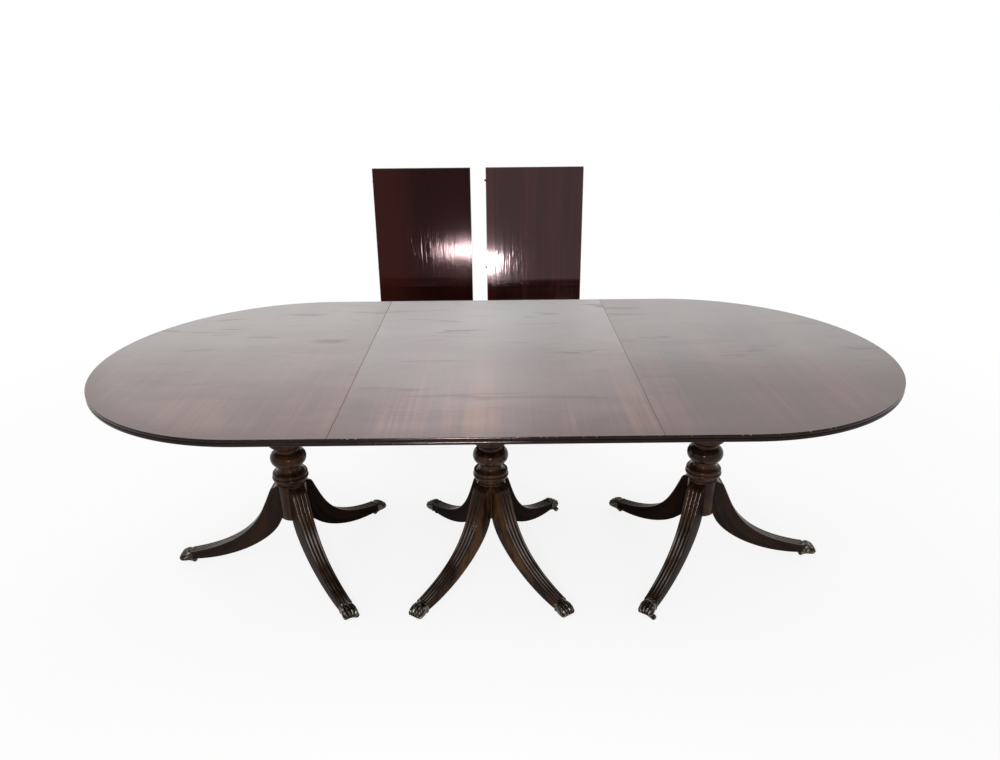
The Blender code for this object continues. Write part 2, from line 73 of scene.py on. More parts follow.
class Paint:  # the nodes of one finish
    def __init__(self, owner):
        owner.use_nodes = True
        self.owner = owner
        self.tree = owner.node_tree
        self.shader = self.tree.nodes.get("Principled BSDF")

    def put(self, socket, value):
        if isinstance(value, Wire):
            self.tree.links.new(value.socket, socket)
        else:
            socket.default_value = value

    def coat(self, sockets):
        for name, value in sockets.items():
            self.put(self.shader.inputs[name], value)

    def node(self, kind, settings=None, sockets=None, out=0):
        made = self.tree.nodes.new(kind)
        for name, value in (settings or {}).items():
            setattr(made, name, value)
        for name, value in (sockets or {}).items():
            self.put(made.inputs[name], value)
        return Wire(self, made.outputs[out])

    def calc(self, operation, *values):
        return self.node("ShaderNodeMath", {"operation": operation}, dict(enumerate(values)))

    def vector(self, operation, *values, out=0):
        return self.node("ShaderNodeVectorMath", {"operation": operation}, dict(enumerate(values)), out)

    def objectSpace(self):
        return self.node("ShaderNodeTexCoord", out=3)

    def attribute(self, name, out):  # out: 1 for a vector, 2 for a number
        return self.node("ShaderNodeAttribute", {"attribute_name": name}, out=out)

    def axis(self, where, number):
        return self.node("ShaderNodeSeparateXYZ", sockets={0: where}, out=number)

    def noise(self, where, scale, detail=3.0, rough=0.55, bend=0.0):
        sockets = {"Vector": where, "Scale": scale, "Detail": detail, "Roughness": rough, "Distortion": bend}
        return self.node("ShaderNodeTexNoise", sockets=sockets)

    def streaks(self, where, stretch, shift, detail, rough, bend=0.0):  # noise drawn out along the grain
        sockets = {"Vector": where, "Scale": stretch, "Location": shift}
        return self.noise(self.node("ShaderNodeMapping", sockets=sockets), 1.0, detail, rough, bend)

    def step(self, value, low, high):  # 0 below low, 1 above high, soft between
        settings = {"interpolation_type": "SMOOTHSTEP"}
        return self.node("ShaderNodeMapRange", settings, {"Value": value, "From Min": low, "From Max": high})

    def ramp(self, value, stops):
        made = self.node("ShaderNodeValToRGB", sockets={"Fac": value})
        elements = made.socket.node.color_ramp.elements
        while len(elements) < len(stops):
            elements.new(1)
        for element, (at, colour) in zip(elements, stops):
            element.position = at
            element.color = (*colour, 1)
        return made

    def mix(self, share, first, second):
        first = first if isinstance(first, Wire) else (*first, 1)
        second = second if isinstance(second, Wire) else (*second, 1)
        return self.node("ShaderNodeMix", {"data_type": "RGBA"}, {0: share, 6: first, 7: second}, out=2)

    def bump(self, height, strength, distance, normal=None):
        sockets = {"Height": height, "Strength": strength, "Distance": distance}
        if normal:
            sockets["Normal"] = normal
        return self.node("ShaderNodeBump", sockets=sockets)


def newPaint(name, fixed):
    paint = Paint(bpy.data.materials.new(name))
    paint.coat(fixed)
    return paint


def shiny(name, shine, tint):
    return newPaint(name, {"Specular IOR Level": shine, "Specular Tint": tint})


# tops and leaves: sizes for their finish and their shape
board = {
    "thick": 0.019, "half": 0.595, "centreLength": 0.784, "straight": 0.214, "bow": 0.570, "leafWidth": 0.392,
    "reeds": 2, "reedDepth": 0.0028, "reedSteps": 10, "quirk": 0.0007, "arrisTurn": math.radians(58),
    "jointArris": 0.0006, "bowSteps": 132,
}
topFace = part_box("centre_top")[1].z
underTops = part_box("centre_top")[0].z
tableY = sum(corner.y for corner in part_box("centre_top")) / 2

# mahogany of the tops: grain runs front to back, under a pale bloom that thickens towards the back, partly
# real haze of the polish and partly painted sheen
topWood = {
    "dark": (0.048, 0.0135, 0.0104), "middle": (0.092, 0.0285, 0.0220), "light": (0.140, 0.0500, 0.0330),
    "flame": (0.290, 0.130, 0.060), "bloomAndSheen": (0.39, 0.365, 0.365), "coolBloomAndSheen": (0.365, 0.380, 0.362),
    # rim: how far out the painted shade along the front rim begins
    "polish": {"Sheen Weight": 0.82, "Sheen Roughness": 0.35, "IOR": 1.5}, "rim": 0.85,
    # side: shift of the pattern, haze and painted sheen at the back, flame at the front, tone with painted
    # shade
    "left": (0.0, 0.53, 0.12, 0.02), "centre": (3.7, 0.70, 0.32, -0.03), "right": (8.2, 0.43, 0.07, -0.08),
}


def paintTop(side):
    shift, hazeAndSheen, flame, toneAndShade = topWood[side]
    paint = newPaint(f"top_mahogany_{side}", topWood["polish"])
    where = paint.objectSpace()
    along = paint.axis(where, 0)
    back = paint.axis(where, 1)
    figure = paint.streaks(where, (7, 0.45, 1), (shift, 0.3 * shift, 0), 3.0, 0.5, 0.4)
    grain = paint.streaks(where, (70, 1.6, 1), (shift, 0, 0), 4.0, 0.6, 0.2)
    pores = paint.streaks(where, (620, 16, 1), (shift, 0, 0), 2.0, 0.6)
    cloud = paint.streaks(where, (2.6, 5.0, 1), (0, shift, 0), 4.0, 0.6, 0.6)
    cast = paint.streaks(where, (3.4, 2.6, 1), (shift, 1.7, 0), 2.0, 0.5)
    wisp = paint.streaks(where, (3.0, 24, 1), (shift, 0, 0), 3.0, 0.6, 0.8)
    tones = [(0.34, topWood["dark"]), (0.5, topWood["middle"]), (0.66, topWood["light"])]
    # the tone of each side is partly painted shade: the right top is darker all over
    wood = paint.ramp(0.35 * figure + 0.35 * grain + 0.3 * cloud + toneAndShade, tones)
    wood = paint.mix(0.4 * paint.step(pores, 0.56, 0.7), wood, topWood["dark"])
    front = 1 - paint.step(back, -0.55, -0.10)
    flames = paint.step(0.5 * figure + 0.5 * grain, 0.46, 0.66)
    wood = paint.mix(flame * front * flames, wood, topWood["flame"])
    bloomAndSheen = paint.mix(paint.step(cast, 0.40, 0.60), topWood["bloomAndSheen"], topWood["coolBloomAndSheen"])
    # painted sheen: the bloom grows towards the back of each top, with real mottled haze in the clouds
    hazeAndSheenShare = hazeAndSheen * paint.step(back, -0.82, 0.40) + 0.12 * paint.step(cloud, 0.3, 0.7)
    # painted shade: less bloom along the front, towards the right of the table
    wood = paint.mix(hazeAndSheenShare * (1 - 0.9 * front * paint.step(along, 0.1, 0.8)), wood, bloomAndSheen)
    wood = paint.mix(0.65 * paint.step(wisp, 0.57, 0.70), wood, topWood["dark"])
    # painted shade along the front rim: 1 on the outline, 0 in the middle
    bowFrom = board["centreLength"] / 2 + board["straight"]
    intoBow = paint.calc("MAXIMUM", paint.calc("ABSOLUTE", along) - bowFrom, 0.0)
    shares = {0: intoBow * (1 / board["bow"]), 1: (back - tableY) * (1 / board["half"])}
    rim = paint.vector("LENGTH", paint.node("ShaderNodeCombineXYZ", sockets=shares), out=1)
    wood = paint.mix(0.7 * front * paint.step(rim, topWood["rim"], 1.0), wood, topWood["dark"])
    relief = paint.bump(pores * 0.4 + grain * 0.6, 0.12, 0.0006)
    paint.coat({"Base Color": wood, "Roughness": 0.42 + 0.14 * cloud, "Normal": relief})
    return paint


# moulded edge: nearly black, its arris knocked pale here and there
edgeWood = {
    "black": (0.0035, 0.0020, 0.0018), "brown": (0.011, 0.0046, 0.0036), "speck": (0.46, 0.39, 0.34),
    "arris": 0.0032, "shine": 0.16, "tint": (1.0, 0.84, 0.82, 1),
}


def paintEdge(name, knocked):
    paint = shiny(name, edgeWood["shine"], edgeWood["tint"])
    where = paint.objectSpace()
    streak = paint.noise(where, 26.0, 4.0, 0.6)
    dents = paint.noise(where, 380.0, 3.0, 0.6)
    arris = paint.step(paint.axis(where, 2), topFace - edgeWood["arris"], topFace - 0.3 * edgeWood["arris"])
    knocks = paint.step(paint.noise(where, 130.0, 4.0, 0.75), 0.60, 0.66) * arris
    wood = paint.ramp(streak, [(0.35, edgeWood["black"]), (0.7, edgeWood["brown"])])
    wood = paint.mix(knocked * knocks, wood, edgeWood["speck"])
    relief = paint.bump(streak * 0.3 + dents * 0.7, 0.30, 0.0006)
    paint.coat({"Base Color": wood, "Roughness": 0.10 + 0.12 * streak, "Normal": relief})
    return paint


edgePaint = paintEdge("edge_mahogany", 0.8)
leafEdgePaint = paintEdge("leaf_edge_mahogany", 0.0)
topPaints = {side: paintTop(side) for side in ("left", "centre", "right")}

# mahogany of the loose leaves: upright grain under a clear polish
leafWood = {
    "left": {
        "dark": (0.006, 0.0013, 0.0013), "light": (0.013, 0.0026, 0.0022), "redFrom": 0.10, "redTo": 0.30,
        "shine": 0.115, "tint": (1.0, 0.68, 0.70, 1), "shift": 1.3, "lean": 0.114, "ripple": 0.75,
    },
    "right": {
        "dark": (0.007, 0.0015, 0.0014), "light": (0.032, 0.0074, 0.0074), "redFrom": 0.06, "redTo": 0.12,
        "shine": 0.47, "tint": (1.0, 0.72, 0.76, 1), "shift": 5.1, "lean": 0.134, "ripple": 0.45,
    },
    "red": (0.034, 0.0078, 0.0054), "footLean": 0.162, "footFrom": 0.033,
}  # lean: the polish mirrors as a board that leans back, more so below the table top


def paintLeaf(side):
    look = leafWood[side]
    paint = shiny(f"leaf_mahogany_{side}", look["shine"], look["tint"])
    where = paint.objectSpace()
    shift = (look["shift"], 0, 0)
    bands = paint.streaks(where, (6, 1, 0.5), shift, 2.0, 0.5, 0.2)
    grain = paint.streaks(where, (110, 1, 2.4), shift, 4.0, 0.6)
    ripple = paint.streaks(where, (130, 1, 5), shift, 2.5, 0.55)
    wood = paint.ramp(0.6 * bands + 0.4 * grain, [(0.36, look["dark"]), (0.64, look["light"])])
    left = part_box(f"{side}_leaf")[0].x
    across = paint.axis(where, 0)
    outer = 1 - paint.step(across + 0.12 * bands, left + look["redFrom"], left + look["redTo"])
    wood = paint.mix(0.75 * outer, wood, leafWood["red"])
    normal = paint.node("ShaderNodeNewGeometry", out=1)
    face = paint.step(paint.axis(normal, 1) * -1, 0.9, 0.99)
    foot = paint.calc("LESS_THAN", paint.axis(where, 2), topFace - leafWood["footFrom"])
    lean = look["lean"] + (leafWood["footLean"] - look["lean"]) * foot
    lift = paint.node("ShaderNodeCombineXYZ", sockets={2: face * lean})
    leaning = paint.vector("NORMALIZE", paint.vector("ADD", normal, lift))
    relief = paint.bump(ripple * 0.85 + grain * 0.15, look["ripple"], 0.0007, leaning)
    paint.coat({"Base Color": wood, "Roughness": 0.05 + 0.06 * grain, "Normal": relief})
    return paint


leafPaints = {side: paintLeaf(side) for side in ("left", "right")}

# dark mahogany of the columns and legs: polished turning and reeds, duller sides
darkWood = {
    "black": (0.0042, 0.0025, 0.0021), "brown": (0.0135, 0.0066, 0.0042), "wornAndLit": (0.110, 0.052, 0.021),
    # the pale crest colour below is rubbed wear with painted glints, strongest in a band along the leg
    "rubbedAndGlint": (0.380, 0.340, 0.310), "rubAndGlintFrom": (0.08, 0.20), "rubAndGlintTo": (0.26, 0.40),
    "columnTint": (1.0, 0.64, 0.60, 1), "columnGrain": (60, 60, 4),
    "legTint": (1.0, 0.74, 0.64, 1), "legGrain": (6, 90, 60),
    "columns": {"left": 0.15, "centre": 0.23, "right": 0.20},  # shine
    # leg: how worn its sides are, painted light on the centre front legs, their shine, shine of its reeds,
    # how rubbed these are with painted glints
    "legs": {
        # the centre front legs are a lit copy, painted light; the back legs a darker copy, painted shade
        "front": (0.07, 0.03, 0.13, 0.75), "warmLit": (0.66, 0.035, 0.11, 0.60),
        "outer": (0.07, 0.115, 0.20, 0.85), "farShaded": (0.03, 0.006, 0.055, 0.45),
    },
}


def paintDark(paint, where, grain, rough, wornAndLit):
    figure = paint.streaks(where, grain, (0, 0, 0), 4.0, 0.6, 0.5)
    patch = paint.noise(where, 14.0, 3.0, 0.6)
    wood = paint.ramp(figure, [(0.35, darkWood["black"]), (0.68, darkWood["brown"])])
    # lighter brown patches: wear, and painted light where the share is high
    wood = paint.mix(wornAndLit * paint.step(patch + 0.3 * figure, 0.50, 0.80), wood, darkWood["wornAndLit"])
    relief = paint.bump(figure, 0.10, 0.0008)
    paint.coat({"Base Color": wood, "Roughness": rough + 0.09 * patch, "Normal": relief})
    return wood


def paintColumn(side, shine):
    paint = shiny(f"column_{side}", shine, darkWood["columnTint"])
    paintDark(paint, paint.objectSpace(), darkWood["columnGrain"], 0.12, 0.25)
    return paint


def paintReeds(kind, shine, rubbedAndGlint):
    paint = shiny(f"reeds_{kind}", shine, darkWood["legTint"])
    where = paint.attribute("legSpace", 1)
    wood = paintDark(paint, where, darkWood["legGrain"], 0.09, 0.15)
    # painted glints: the reed crests are lightened, rubbed wear and painted highlight together, most in the
    # middle of the leg
    crest = paint.step(paint.attribute("crest", 2), 0.84, 1.0)
    down = paint.axis(where, 0)
    handledAndGlint = paint.step(paint.noise(paint.objectSpace(), 9.0, 2.0, 0.5), 0.32, 0.70) * crest
    most = paint.step(down, *darkWood["rubAndGlintFrom"]) * (1 - 0.6 * paint.step(down, *darkWood["rubAndGlintTo"]))
    rubAndGlint = rubbedAndGlint * handledAndGlint * (0.25 + 0.75 * most)  # most of it in the middle of the leg
    paint.coat({"Base Color": paint.mix(rubAndGlint, wood, darkWood["rubbedAndGlint"])})
    return paint


def paintSides(kind, shine, wornAndLit):
    paint = shiny(f"leg_side_{kind}", shine, darkWood["legTint"])
    paintDark(paint, paint.attribute("legSpace", 1), darkWood["legGrain"], 0.42, wornAndLit)
    return paint


columnPaints = {side: paintColumn(side, shine) for side, shine in darkWood["columns"].items()}
legPaints = {}
for kind, (wornAndLit, shine, reedShine, rubbedAndGlint) in darkWood["legs"].items():
    legPaints[kind] = [paintReeds(kind, reedShine, rubbedAndGlint), paintSides(kind, shine, wornAndLit)]

# plain wood out of sight: bearers, blocks and the undersides of the boards
underWood = {"dark": (0.070, 0.034, 0.018), "light": (0.175, 0.092, 0.050)}


def paintUnder(name, stretch):
    paint = newPaint(name, {"Specular IOR Level": 0.2})
    where = paint.objectSpace()
    grain = paint.streaks(where, stretch, (0, 0, 0), 4.0, 0.6, 0.3)
    stain = paint.noise(where, 6.0)
    wood = paint.ramp(0.7 * grain + 0.3 * stain, [(0.35, underWood["dark"]), (0.65, underWood["light"])])
    relief = paint.bump(grain, 0.25, 0.001)
    paint.coat({"Base Color": wood, "Roughness": 0.55 + 0.2 * grain, "Normal": relief})
    return paint


underPaint = paintUnder("under_wood", (3, 70, 70))
undersidePaint = paintUnder("board_underside", (70, 3, 70))
leafBackPaint = paintUnder("leaf_underside", (70, 70, 3))

# old brass: dark in the hollows and darker down the flanks towards the sole, rubbed bright on what stands
# out, the bright rubbing partly painted glints
brass = {"hollow": (0.014, 0.013, 0.010), "plain": (0.038, 0.035, 0.027), "rubbedAndGlint": (0.46, 0.42, 0.32)}


def paintBrass(name, rubbedAndGlint, roughness):
    paint = newPaint(name, {"Metallic": 1.0})
    where = paint.objectSpace()
    deep = paint.attribute("hollow", 2)
    tarnish = paint.noise(where, 110.0, 4.0, 0.65)
    fine = paint.noise(where, 900.0, 3.0, 0.6)
    metal = paint.mix(paint.step(tarnish, 0.48, 0.70) * rubbedAndGlint, brass["plain"], brass["rubbedAndGlint"])
    metal = paint.mix(paint.step(deep, 0.15, 0.85), metal, brass["hollow"])
    relief = paint.bump(tarnish * 0.6 + fine * 0.4, 0.18, 0.0004)
    rough = roughness + 0.22 * tarnish + 0.15 * deep
    paint.coat({"Base Color": metal, "Roughness": rough, "Normal": relief})
    return paint


# the near caps rubbed brighter, partly painted glints; the far caps darker and less rubbed, painted shade
capPaint = paintBrass("old_brass_cap", 0.7, 0.16)
farCapPaint = paintBrass("old_brass_far_cap", 0.2, 0.30)
hornPaint = paintBrass("old_brass_horn", 0.5, 0.28)
wheelPaint = paintBrass("old_brass_wheel", 0.9, 0.24)
screwPaint = paintBrass("old_brass_screw", 0.3, 0.34)
print("finishes made:", len(bpy.data.materials))


# mesh helpers, in metres
weld = 0.000002  # points closer than this become one
onPlane = 1e-6  # how near a point is to a plane that it lies on
seatGap = 0.0003  # between pieces that are seated in one another
broadFace = 0.01  # square metres


def ringEdges(loop):
    edges = {edge for vert in loop for edge in vert.link_edges}
    return [edge for edge in edges if all(vert in loop for vert in edge.verts)]


def loopEdges(bm, loop):
    return [bm.edges.get((loop[k - 1], loop[k])) for k in range(len(loop))]


def newVerts(result):
    return [item for item in result["geom"] if isinstance(item, bmesh.types.BMVert)]


def drawnThrough(bm, rings):
    # a tube through rings of points: the first is extruded to each of the others, both ends are closed
    loop = bmesh.ops.create_circle(bm, segments=len(rings[0]), radius=1)["verts"]
    for vert, point in zip(loop, rings[0]):
        vert.co = point
    first = list(loop)
    for ring in rings[1:]:
        fresh = set(newVerts(bmesh.ops.extrude_edge_only(bm, edges=loopEdges(bm, loop))))
        loop = [next(e.other_vert(v) for e in v.link_edges if e.other_vert(v) in fresh) for v in loop]
        for vert, point in zip(loop, ring):
            vert.co = point
    ends = []
    for end in (first, loop):
        ends += bmesh.ops.contextual_create(bm, geom=loopEdges(bm, end))["faces"]
    return ends


def turned(bm, points, angle, steps):  # a line of points turned about Z
    verts = [bm.verts.new(point) for point in points]
    line = verts + [bm.edges.new(pair) for pair in zip(verts, verts[1:])]
    about = {"axis": (0, 0, 1), "cent": (0, 0, 0)}
    bmesh.ops.spin(bm, geom=line, angle=angle, steps=steps, use_merge=angle == math.tau, **about)
    bmesh.ops.remove_doubles(bm, verts=bm.verts, dist=weld)


def spun(bm, profile, steps):  # (radius, height) points turned all the way round
    turned(bm, [(radius, 0, height) for radius, height in profile], math.tau, steps)


def softened(bm, edges, width, segments=2):
    how = {"offset_type": "OFFSET", "affect": "EDGES", "profile": 0.5, "material": -1}
    bmesh.ops.bevel(bm, geom=edges, offset=width, segments=segments, **how)


def meshOf(bm, name):
    bmesh.ops.recalc_face_normals(bm, faces=bm.faces)
    if bm.calc_volume(signed=True) < 0:  # faces must look outwards
        bmesh.ops.reverse_faces(bm, faces=bm.faces[:])
    mesh = bpy.data.meshes.new(name)
    bm.to_mesh(mesh)
    bm.free()
    return mesh


def fit(mesh, name, paints, body, node=None, sharp=30):
    for paint in paints if isinstance(paints, list) else [paints]:
        mesh.materials.append(paint.owner)
    mesh.shade_smooth()
    mesh.set_sharp_from_angle(angle=math.radians(sharp))
    for face in mesh.polygons:  # broad flat faces stay flat
        face.use_smooth = face.area < broadFace
    piece = bpy.data.objects.new(name, mesh)
    bpy.context.scene.collection.objects.link(piece)
    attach(piece, body)
    if node:
        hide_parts(node)


def placed(template, matrix):
    mesh = template.copy()
    mesh.transform(matrix)
    return mesh


def gathered(template, places):  # copies of one small mesh, joined
    bm = bmesh.new()
    for place in places:
        before = len(bm.verts)
        bm.from_mesh(template)
        bm.verts.ensure_lookup_table()
        bmesh.ops.transform(bm, matrix=place, verts=bm.verts[before:])
    return bm


# tops and leaves, with their pegs and sockets
peg = {
    "radius": 0.004, "length": 0.012, "leafLength": {"left": 0.002, "right": 0.006}, "root": 0.006,
    "dome": 0.0016, "domeBend": 0.35, "edgeInset": 0.050, "inner": 0.190, "steps": 20,
    "socketRadius": 0.0043, "socketDepth": 0.0133,
}
bodies = {"left": "left_end_section", "centre": "centre_section", "right": "right_end_section"}


def reedLine():  # (out, height) down the moulded edge, from the top face to the underside
    reeds, steps = board["reeds"], board["reedSteps"]
    tall = board["thick"] / reeds
    ground = board["half"] - board["reedDepth"]
    points = []
    for reed in range(reeds):
        first = -board["arrisTurn"] if reed == 0 else -math.pi / 2
        last = board["arrisTurn"] if reed == reeds - 1 else math.pi / 2
        top = board["thick"] - tall * reed - (board["quirk"] / 2 if reed else 0)
        low = board["thick"] - tall * (reed + 1) + (board["quirk"] / 2 if reed < reeds - 1 else 0)
        for k in range(steps + 1):
            turn = first + (last - first) * k / steps
            share = (math.sin(turn) - math.sin(first)) / (math.sin(last) - math.sin(first))
            points.append((ground + board["reedDepth"] * math.cos(turn), top + (low - top) * share))
    return points


def pegSpots():
    outer = board["half"] - peg["edgeInset"]
    return [(y, board["thick"] / 2) for y in (-outer, -peg["inner"], peg["inner"], outer)]


def closeJoint(bm, x, inward, sockets):
    # the flat joint face at x, with the sockets for the pegs sunk into it
    rim = [e for e in bm.edges if e.is_boundary and all(abs(v.co.x - x) < onPlane for v in e.verts)]
    rings = []
    for y, z in pegSpots() if sockets else ():
        turn = Matrix.Translation((x, y, z)) @ Matrix.Rotation(math.pi / 2, 4, "Y")
        radius = peg["socketRadius"]
        loop = bmesh.ops.create_circle(bm, segments=peg["steps"], radius=radius, matrix=turn)["verts"]
        rings.append(ringEdges(loop))
    bmesh.ops.triangle_fill(bm, use_beauty=True, edges=rim + [e for ring in rings for e in ring])
    for ring in rings:
        deep = bmesh.ops.extrude_edge_only(bm, edges=ring)
        bmesh.ops.translate(bm, verts=newVerts(deep), vec=(inward * peg["socketDepth"], 0, 0))
        bmesh.ops.contextual_create(bm, geom=ringEdges(newVerts(deep)))


def straightBoard(length, socketEnds):
    bm = bmesh.new()
    side = reedLine()
    loop = side + [(-y, z) for y, z in reversed(side)]
    verts = [bm.verts.new((-length / 2, y, z)) for y, z in loop]
    edges = [bm.edges.new((verts[k - 1], verts[k])) for k in range(len(verts))]
    drawn = bmesh.ops.extrude_edge_only(bm, edges=edges)
    bmesh.ops.translate(bm, verts=newVerts(drawn), vec=(length, 0, 0))
    for sign in (-1, 1):
        closeJoint(bm, sign * length / 2, -sign, sign in socketEnds)
    return bm


def bowedBoard(sockets):  # joint face at x = 0, the bow towards +X
    bm = bmesh.new()
    line = [(0, board["thick"]), *reedLine(), (0, 0)]
    turned(bm, [(0, -out, z) for out, z in line], math.pi, board["bowSteps"])
    bmesh.ops.scale(bm, vec=(board["bow"] / board["half"], 1, 1), verts=bm.verts)
    bmesh.ops.translate(bm, verts=bm.verts, vec=(board["straight"], 0, 0))
    flat = [e for e in bm.edges if e.is_boundary]
    drawn = bmesh.ops.extrude_edge_only(bm, edges=flat)
    bmesh.ops.translate(bm, verts=newVerts(drawn), vec=(-board["straight"], 0, 0))
    closeJoint(bm, 0, 1, sockets)
    return bm


def finished(bm, joints):
    # takes the sharp arris off the top of each joint face, then gives out the finishes:
    # polished face, moulded edge and joints, plain underside
    high = board["thick"] - onPlane
    for x in joints:
        edges = [e for e in bm.edges if all(abs(v.co.x - x) < onPlane and v.co.z > high for v in e.verts)]
        softened(bm, edges, board["jointArris"], segments=1)
    for face in bm.faces:
        face.normal_update()
        broad = 0 if face.calc_center_median().z > board["thick"] / 2 else 2
        face.material_index = broad if abs(face.normal.z) > 0.99 else 1


def pegRow(x, high):  # the four pegs that stand out of a joint face, towards -X
    bm = bmesh.new()
    wide, dome, bend = peg["radius"], peg["dome"], peg["domeBend"] * peg["dome"]
    profile = [(0, -peg["root"]), (wide, -peg["root"]), (wide, high - dome)]
    profile += [(wide - bend, high - bend), (wide - dome, high), (0, high)]
    spun(bm, profile, peg["steps"])
    turn = Matrix.Rotation(-math.pi / 2, 4, "Y")
    return gathered(meshOf(bm, "peg"), [Matrix.Translation((x, y, z)) @ turn for y, z in pegSpots()])


halfCentre = board["centreLength"] / 2
halfLeaf = board["leafWidth"] / 2
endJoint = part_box("left_end_top")[1].x
atTable = Matrix.Translation((0, tableY, underTops))
atRight = Matrix.Translation((-endJoint, tableY, underTops))
atLeft = Matrix.Translation((endJoint, tableY, underTops)) @ Matrix.Rotation(math.pi, 4, "Z")

for side, node, place, bm, joints in (
    ("left", "left_end_top", atLeft, bowedBoard(True), (0,)),
    ("right", "right_end_top", atRight, bowedBoard(False), (0,)),
    ("centre", "centre_top", atTable, straightBoard(board["centreLength"], (1,)), (-halfCentre, halfCentre)),
):
    finished(bm, joints)
    bm.transform(place)
    paints = [topPaints[side], edgePaint, undersidePaint]
    fit(meshOf(bm, node), f"{side}_board", paints, bodies[side], node)

for side, place, x in (("centre", atTable, -halfCentre), ("right", atRight, 0)):
    bm = pegRow(x, peg["length"])
    bm.transform(place)
    fit(meshOf(bm, "pegs"), f"{side}_pegs", columnPaints["centre"], bodies[side])

for side in ("left", "right"):
    body = f"leaf_{side}"
    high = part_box(f"{side}_leaf")[1]
    stand = Matrix.Translation((high.x - halfLeaf, high.y, high.z / 2)) @ Matrix.Rotation(math.pi / 2, 4, "X")
    bm = straightBoard(board["leafWidth"], (1,))
    finished(bm, (-halfLeaf, halfLeaf))
    bm.transform(stand)
    paints = [leafPaints[side], leafEdgePaint, leafBackPaint]
    fit(meshOf(bm, "leaf"), f"{side}_leaf_board", paints, body, f"{side}_leaf")
    bm = pegRow(-halfLeaf, peg["leafLength"][side])
    bm.transform(stand)
    fit(meshOf(bm, "leaf_pegs"), f"{side}_leaf_pegs", columnPaints["centre"], body)
print("boards, leaves and pegs made")

# blocks, bearers and their screws
rail = {"endCut": 0.018, "soft": 0.0015, "blockSoft": 0.003}
screw = {
    "radius": 0.0042, "height": 0.0018, "steps": 24, "slot": 0.0011, "slotShare": 0.86, "slotDepth": 0.0009,
    "slotMiddle": 0.0002, "spread": (-0.27, -0.14, 0.0, 0.14, 0.27), "stagger": 0.006, "turn": 0.9,
    "corner": 0.74, "clear": 0.0004,
}


def boxBetween(low, high):
    bm = bmesh.new()
    bmesh.ops.create_cube(bm, size=1)
    bmesh.ops.scale(bm, vec=high - low, verts=bm.verts)
    bmesh.ops.translate(bm, verts=bm.verts, vec=(low + high) / 2)
    return bm


def bearerMesh(low, high):
    bm = boxBetween(low, high)
    for vert in bm.verts:  # lower ends cut back
        if vert.co.z < (low.z + high.z) / 2:
            vert.co.x += rail["endCut"] if vert.co.x < (low.x + high.x) / 2 else -rail["endCut"]
    softened(bm, bm.edges[:], rail["soft"])
    return meshOf(bm, "bearer")


def blockMesh(low, high):
    bm = boxBetween(low, high)
    softened(bm, bm.edges[:], rail["blockSoft"], segments=3)
    return meshOf(bm, "block")


def screwMesh():  # a slotted head that looks down
    bm = bmesh.new()
    bmesh.ops.create_circle(bm, cap_ends=True, segments=screw["steps"], radius=screw["radius"])
    for half, facing in ((screw["slot"] / 2, (0, 1, 0)), (screw["slotShare"] * screw["radius"], (1, 0, 0))):
        for sign in (1, -1):
            parts = bm.verts[:] + bm.edges[:] + bm.faces[:]
            bmesh.ops.bisect_plane(bm, geom=parts, plane_co=sign * half * Vector(facing), plane_no=facing)
    wall = bmesh.ops.extrude_edge_only(bm, edges=[e for e in bm.edges if e.is_boundary])
    bmesh.ops.translate(bm, verts=newVerts(wall), vec=(0, 0, screw["height"]))
    bmesh.ops.contextual_create(bm, geom=[e for e in bm.edges if e.is_boundary])
    slot = [face for face in bm.faces if face.calc_center_median().length < screw["slotMiddle"]]
    sunk = bmesh.ops.extrude_discrete_faces(bm, faces=slot)["faces"]
    bmesh.ops.translate(bm, verts=list({v for f in sunk for v in f.verts}), vec=(0, 0, screw["slotDepth"]))
    return meshOf(bm, "screw")


headMesh = screwMesh()
for side, body in bodies.items():
    heads = []
    for edge in ("front", "back"):
        node = f"{side}_{edge}_bearer"
        low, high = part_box(node)
        fit(bearerMesh(low, high), f"{side}_{edge}_rail", underPaint, body, node)
        middle = (low + high) / 2
        for k, along in enumerate(screw["spread"]):
            aside = screw["stagger"] if k % 2 else -screw["stagger"]
            spot = (middle.x + along, middle.y + aside, low.z - screw["clear"])
            heads.append(Matrix.Translation(spot) @ Matrix.Rotation(screw["turn"] * k + middle.y, 4, "Z"))
    node = f"{side}_top_block"
    low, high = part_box(node)
    fit(blockMesh(low, high), f"{side}_block", underPaint, body, node)
    middle = (low + high) / 2
    reach = screw["corner"] * (high - low) / 2
    for x, y in ((-1, -1), (1, -1), (1, 1), (-1, 1)):
        spot = (middle.x + x * reach.x, middle.y + y * reach.y, low.z - screw["clear"])
        heads.append(Matrix.Translation(spot) @ Matrix.Rotation(x + 2 * y, 4, "Z"))
    fit(meshOf(gathered(headMesh, heads), "screws"), f"{side}_screws", screwPaint, body)
print("blocks, bearers and screws made")

# turned columns
column = {
    "steps": 72, "collarRadius": 0.062, "collarHeight": 0.012, "collarCove": 0.022, "barrelTop": 0.044,
    "barrelFoot": 0.056, "astragalHeight": 0.010, "astragalSwell": 0.005, "footCove": 0.018,
    "neckRadius": 0.038, "neckHeight": 0.006, "ballRadius": 0.057, "ballHeight": 0.048, "waistRadius": 0.037,
    "waistHeight": 0.008, "waistCove": 0.016, "ringRadius": 0.057, "ringHeight": 0.030, "beadSwell": 0.003,
    "beadHeight": 0.008, "grooveDepth": 0.003, "grooveHeight": 0.003, "hubRadius": 0.0466, "hubBottom": 0.180,
    "hubTop": 0.304, "hubRounding": 0.006, "roundingSteps": 6, "fillet": 0.0016, "line": 0.0009,
    "quirkAt": 0.42, "quirk": 0.0016,
}


